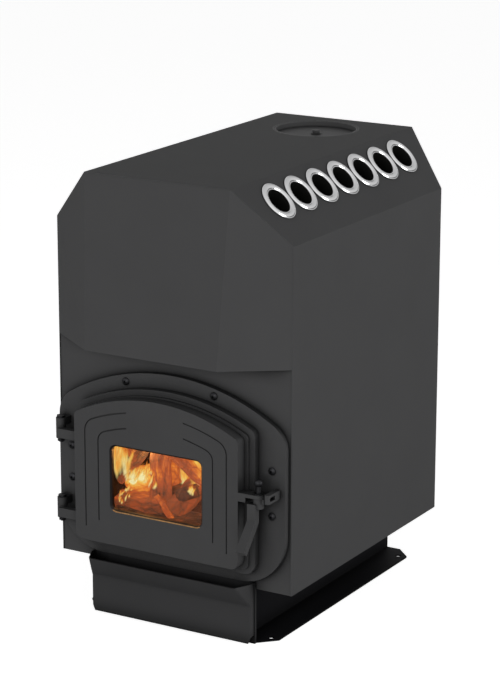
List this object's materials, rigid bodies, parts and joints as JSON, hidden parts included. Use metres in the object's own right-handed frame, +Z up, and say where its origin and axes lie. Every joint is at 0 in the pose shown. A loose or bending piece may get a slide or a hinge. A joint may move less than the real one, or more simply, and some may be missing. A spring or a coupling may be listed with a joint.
{
  "type": "heating stove",
  "caption": "Wood-burning convection heating stove with folded black casing, chrome-ringed warm-air outlets, glazed cast door and ash drawer.",
  "frame": {"origin": "on the floor, midway between the four anchor holes in the base's floor flanges", "axes": "+Z up; +Y from the door towards the rear smoke spigot; +X to the right as one faces the door, towards the latch"},
  "size_m": [0.45, 0.712, 0.77],
  "materials": {
    "casing": "matt heat-resistant black enamel on folded sheet",
    "firebox": "bare heat-darkened steel plate with soot",
    "iron": "matt black painted sand casting, fine grain",
    "tube": "dark scaled steel tube",
    "ring": "polished chrome trim",
    "fastener": "blackened steel, slightly worn",
    "base": "satin black powder coat",
    "drawer": "matt black enamel on thin sheet",
    "glass": "clear heat-resistant glass ceramic, slightly sooted",
    "rope": "braided glass-fibre rope, greyed by heat",
    "spring_steel": "plain spring steel"
  },
  "bodies": {
    "stove": {"casing_wrap": "casing", "front_wall": "casing", "front_hood": "casing", "rear_wall": "casing", "rear_hood": "casing", "body_floor": "firebox", "firebox_shell": "firebox", "flame_baffle": "firebox", "fire_grate": "iron", "left_tubes": "tube", "right_tubes": "tube", "left_tube_rings": "ring", "right_tube_rings": "ring", "top_well": "casing", "rear_spigot": "casing", "base_front": "base", "base_rear": "base", "base_floor": "base", "left_rail": "base", "right_rail": "base", "drawer_runners": "base", "door_portal": "iron", "portal_screws": "fastener", "hinge_pins": "fastener", "latch_keeper": "iron", "keeper_screw": "fastener"},
    "door": {"door_leaf": "iron", "door_glass": "glass", "glass_gasket": "rope", "glass_clips": "spring_steel", "clip_screws": "spring_steel", "door_seal": "rope", "latch_pin": "fastener"},
    "handle": {"door_handle": "iron"},
    "drawer": {"ash_tray": "drawer", "tray_sides": "drawer", "tray_ends": "drawer", "drawer_front": "drawer"},
    "plug": {"flue_plug": "casing", "plug_bolt": "fastener"}
  },
  "joints": [
    {"name": "door_swing", "type": "hinge", "parent": "stove", "child": "door", "pos_m": [-0.204, -0.2865, 0.258], "axis": [0, 0, -1], "range_deg": [0, 110]},
    {"name": "handle_turn", "type": "hinge", "parent": "door", "child": "handle", "pos_m": [0.186, -0.2975, 0.2607], "axis": [0, 0, 1], "range_deg": [0, 60]},
    {"name": "drawer_slide", "type": "slide", "parent": "stove", "child": "drawer", "axis": [0, -1, 0], "range_m": [0, 0.38]},
    {"name": "plug_lift", "type": "slide", "parent": "stove", "child": "plug", "axis": [0, 0, 1], "range_m": [0, 0.06]}
  ]
}
